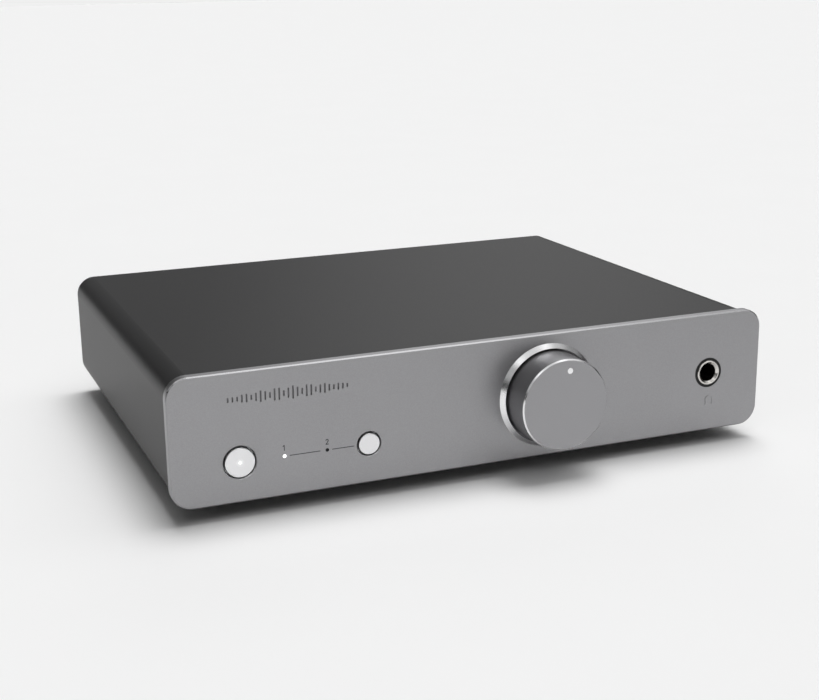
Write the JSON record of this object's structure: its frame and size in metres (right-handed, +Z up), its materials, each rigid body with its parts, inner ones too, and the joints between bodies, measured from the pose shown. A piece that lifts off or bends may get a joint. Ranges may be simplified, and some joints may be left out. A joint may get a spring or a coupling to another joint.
{
  "type": "headphone amplifier",
  "caption": "Slim desktop headphone amplifier with a phono input selector, in a wrap-round metal case with a thick front panel, large volume knob, push buttons and rear sockets.",
  "frame": {"origin": "bottom centre of the whole object, on the surface that its feet stand on", "axes": "+X to the right of someone who looks at the front, +Z up; the front faces -Y"},
  "size_m": [0.215, 0.1866, 0.048],
  "materials": {
    "panel_aluminium": "fine bead-blasted grey anodising",
    "knob_aluminium": "fine bead-blasted grey anodising",
    "bright_aluminium": "bright diamond-cut bevel",
    "cover_metal": "satin dark grey",
    "chassis_steel": "satin black",
    "button_silver": "satin silver anodising",
    "light_white": "lit white light pipe",
    "lens_smoke": "smoked light pipe, unlit",
    "print_dark": "printed dark grey ink",
    "mark_white": "white moulding",
    "black_plastic": "moulded, finely textured",
    "foot_rubber": "matte moulded rubber",
    "nickel": "nickel plating",
    "zinc_steel": "zinc-plated steel",
    "black_screw": "blackened steel",
    "brass": "machined brass",
    "contact_gold": "gold-flashed contact",
    "board_green": "solder resist over glass fibre",
    "ribbon_grey": "flat ribbon insulation",
    "lead_red": "wire insulation",
    "fuse_glass": "glass tube with plated caps",
    "ferrite": "pressed ferrite",
    "winding_tape": "polyester tape over the winding",
    "capacitor_sleeve": "shrunk sleeve",
    "relay_case": "moulded case",
    "heatsink_black": "black anodised extrusion",
    "socket_red": "moulded, red",
    "socket_white": "moulded, white"
  },
  "bodies": {
    "chassis": {"front_panel": "panel_aluminium", "panel_ink": "print_dark", "knob_ring": "bright_aluminium", "volume_pot_bushing": "brass", "volume_pot_washer": "zinc_steel", "volume_pot_nut": "zinc_steel", "volume_pot_body": "zinc_steel", "push_switches": "black_plastic", "indicator_lens_lit": "light_white", "indicator_lens_dark": "lens_smoke", "button_guide": "black_plastic", "control_board": "board_green", "jack_sleeve": "nickel", "jack_bezel": "black_plastic", "jack_housing": "black_plastic", "jack_contacts": "contact_gold", "case_cover": "cover_metal", "base_tray": "chassis_steel", "rear_panel": "chassis_steel", "feet": "foot_rubber", "foot_screws": "black_screw", "cover_screws": "black_screw", "panel_screws": "zinc_steel", "rear_screws": "black_screw", "main_board": "board_green", "power_board": "board_green", "board_standoffs": "brass", "board_screws": "zinc_steel", "ribbon_cable": "ribbon_grey", "supply_leads": "lead_red", "mains_inlet": "black_plastic", "mains_pins": "nickel", "mains_fuse": "fuse_glass", "transformer_core": "ferrite", "transformer_winding": "winding_tape", "power_capacitors": "capacitor_sleeve", "heatsink": "heatsink_black", "power_transistors": "black_plastic", "audio_capacitors": "capacitor_sleeve", "amplifier_chips": "black_plastic", "relays": "relay_case", "rca_blocks": "black_plastic", "rca_shells": "nickel", "rca_rings_white": "socket_white", "rca_rings_red": "socket_red", "rca_contacts": "contact_gold", "ground_post": "nickel", "balance_pot": "zinc_steel", "auto_off_switch": "black_plastic"},
    "volume": {"volume_knob": "knob_aluminium", "knob_pointer": "bright_aluminium", "knob_insert": "black_plastic", "volume_pot_shaft": "zinc_steel"},
    "power_key": {"power_button": "button_silver", "power_light_pipe": "light_white"},
    "selector_key": {"selector_button": "button_silver"},
    "balance": {"balance_knob": "black_plastic"},
    "auto_off": {"auto_off_lever": "mark_white"},
    "ground_clamp": {"ground_washer": "nickel"},
    "ground_thumb_nut": {"ground_nut": "nickel"}
  },
  "joints": [
    {"name": "volume_turn", "type": "hinge", "parent": "chassis", "child": "volume", "pos_m": [0.0225, -0.0805, 0.02665], "axis": [0, 1, 0], "range_deg": [-157, 143]},
    {"name": "power_press", "type": "slide", "parent": "chassis", "child": "power_key", "axis": [0, 1, 0], "range_m": [0, 0.0008], "stiffness_N_per_m": 1200, "springref_m": -0.0004},
    {"name": "selector_press", "type": "slide", "parent": "chassis", "child": "selector_key", "axis": [0, 1, 0], "range_m": [0, 0.0008], "stiffness_N_per_m": 1200, "springref_m": -0.0004},
    {"name": "balance_turn", "type": "hinge", "parent": "chassis", "child": "balance", "pos_m": [0.036, 0.079, 0.024], "axis": [0, -1, 0], "range_deg": [-140, 140]},
    {"name": "auto_off_slide", "type": "slide", "parent": "chassis", "child": "auto_off", "axis": [1, 0, 0], "range_m": [0, 0.0036]},
    {"name": "ground_clamp_slide", "type": "slide", "parent": "chassis", "child": "ground_clamp", "axis": [0, 1, 0], "range_m": [0, 0.0035]},
    {"name": "ground_nut_turn", "type": "hinge", "parent": "ground_clamp", "child": "ground_thumb_nut", "pos_m": [0.096, 0.083, 0.0205], "axis": [0, 1, 0], "range_deg": [0, 1800]}
  ],
  "couplings": [
    {"joint": "ground_nut_turn", "follows": "ground_clamp_slide", "rad_per_m": 8976}
  ]
}
